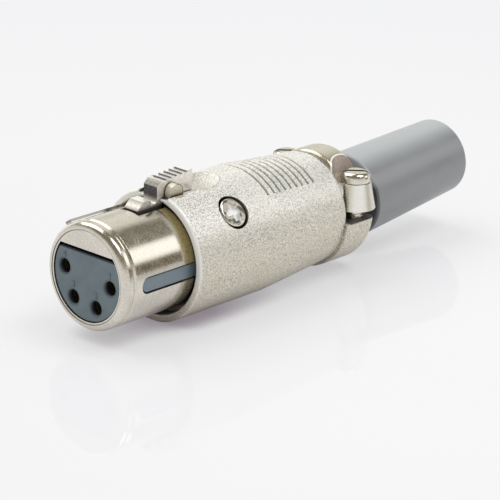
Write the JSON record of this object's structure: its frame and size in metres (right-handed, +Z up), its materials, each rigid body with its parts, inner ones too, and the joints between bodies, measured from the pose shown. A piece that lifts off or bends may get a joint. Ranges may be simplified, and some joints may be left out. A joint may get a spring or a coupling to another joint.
{
  "type": "female xlr cable connector",
  "caption": "Metal-shelled round cable connector with socket contacts in a keyed nose, sprung latch, ribbed grip, screwed cable clamp and leaning rubber boot.",
  "frame": {"origin": "centre of the mating face at the front of the nose barrel, on the barrel's axis", "axes": "+X along the barrel from the mating face to the cable end, +Z up to the latch, Y across"},
  "size_m": [0.0798, 0.0202, 0.0218],
  "materials": {
    "satin_nickel": "satin bead-blasted nickel plate on die-cast zinc",
    "polished_nickel": "polished nickel plate",
    "blue_grey_plastic": "moulded, matt",
    "contact_brass": "plated",
    "spring_steel": "drawn wire",
    "grey_rubber": "matt, moulded"
  },
  "bodies": {
    "connector": {"body_shell": "satin_nickel", "coupling_barrel": "polished_nickel", "insulator": "blue_grey_plastic", "contact_1": "contact_brass", "contact_2": "contact_brass", "contact_3": "contact_brass", "contact_4": "contact_brass", "latch_pin": "polished_nickel", "latch_spring": "spring_steel", "ground_lug": "contact_brass", "insert_screw": "polished_nickel", "clamp_saddle": "satin_nickel", "clamp_screw_left": "polished_nickel", "clamp_screw_right": "polished_nickel", "cable_boot": "grey_rubber"},
    "latch": {"latch_lever": "satin_nickel"}
  },
  "joints": [
    {"name": "latch_pivot", "type": "hinge", "parent": "connector", "child": "latch", "pos_m": [0.0154, 0, 0.0097], "axis": [0, -1, 0], "range_deg": [0, 9], "stiffness_Nm_per_rad": 0.05, "springref_deg": -11.46, "deforming": ["latch_spring"]}
  ]
}
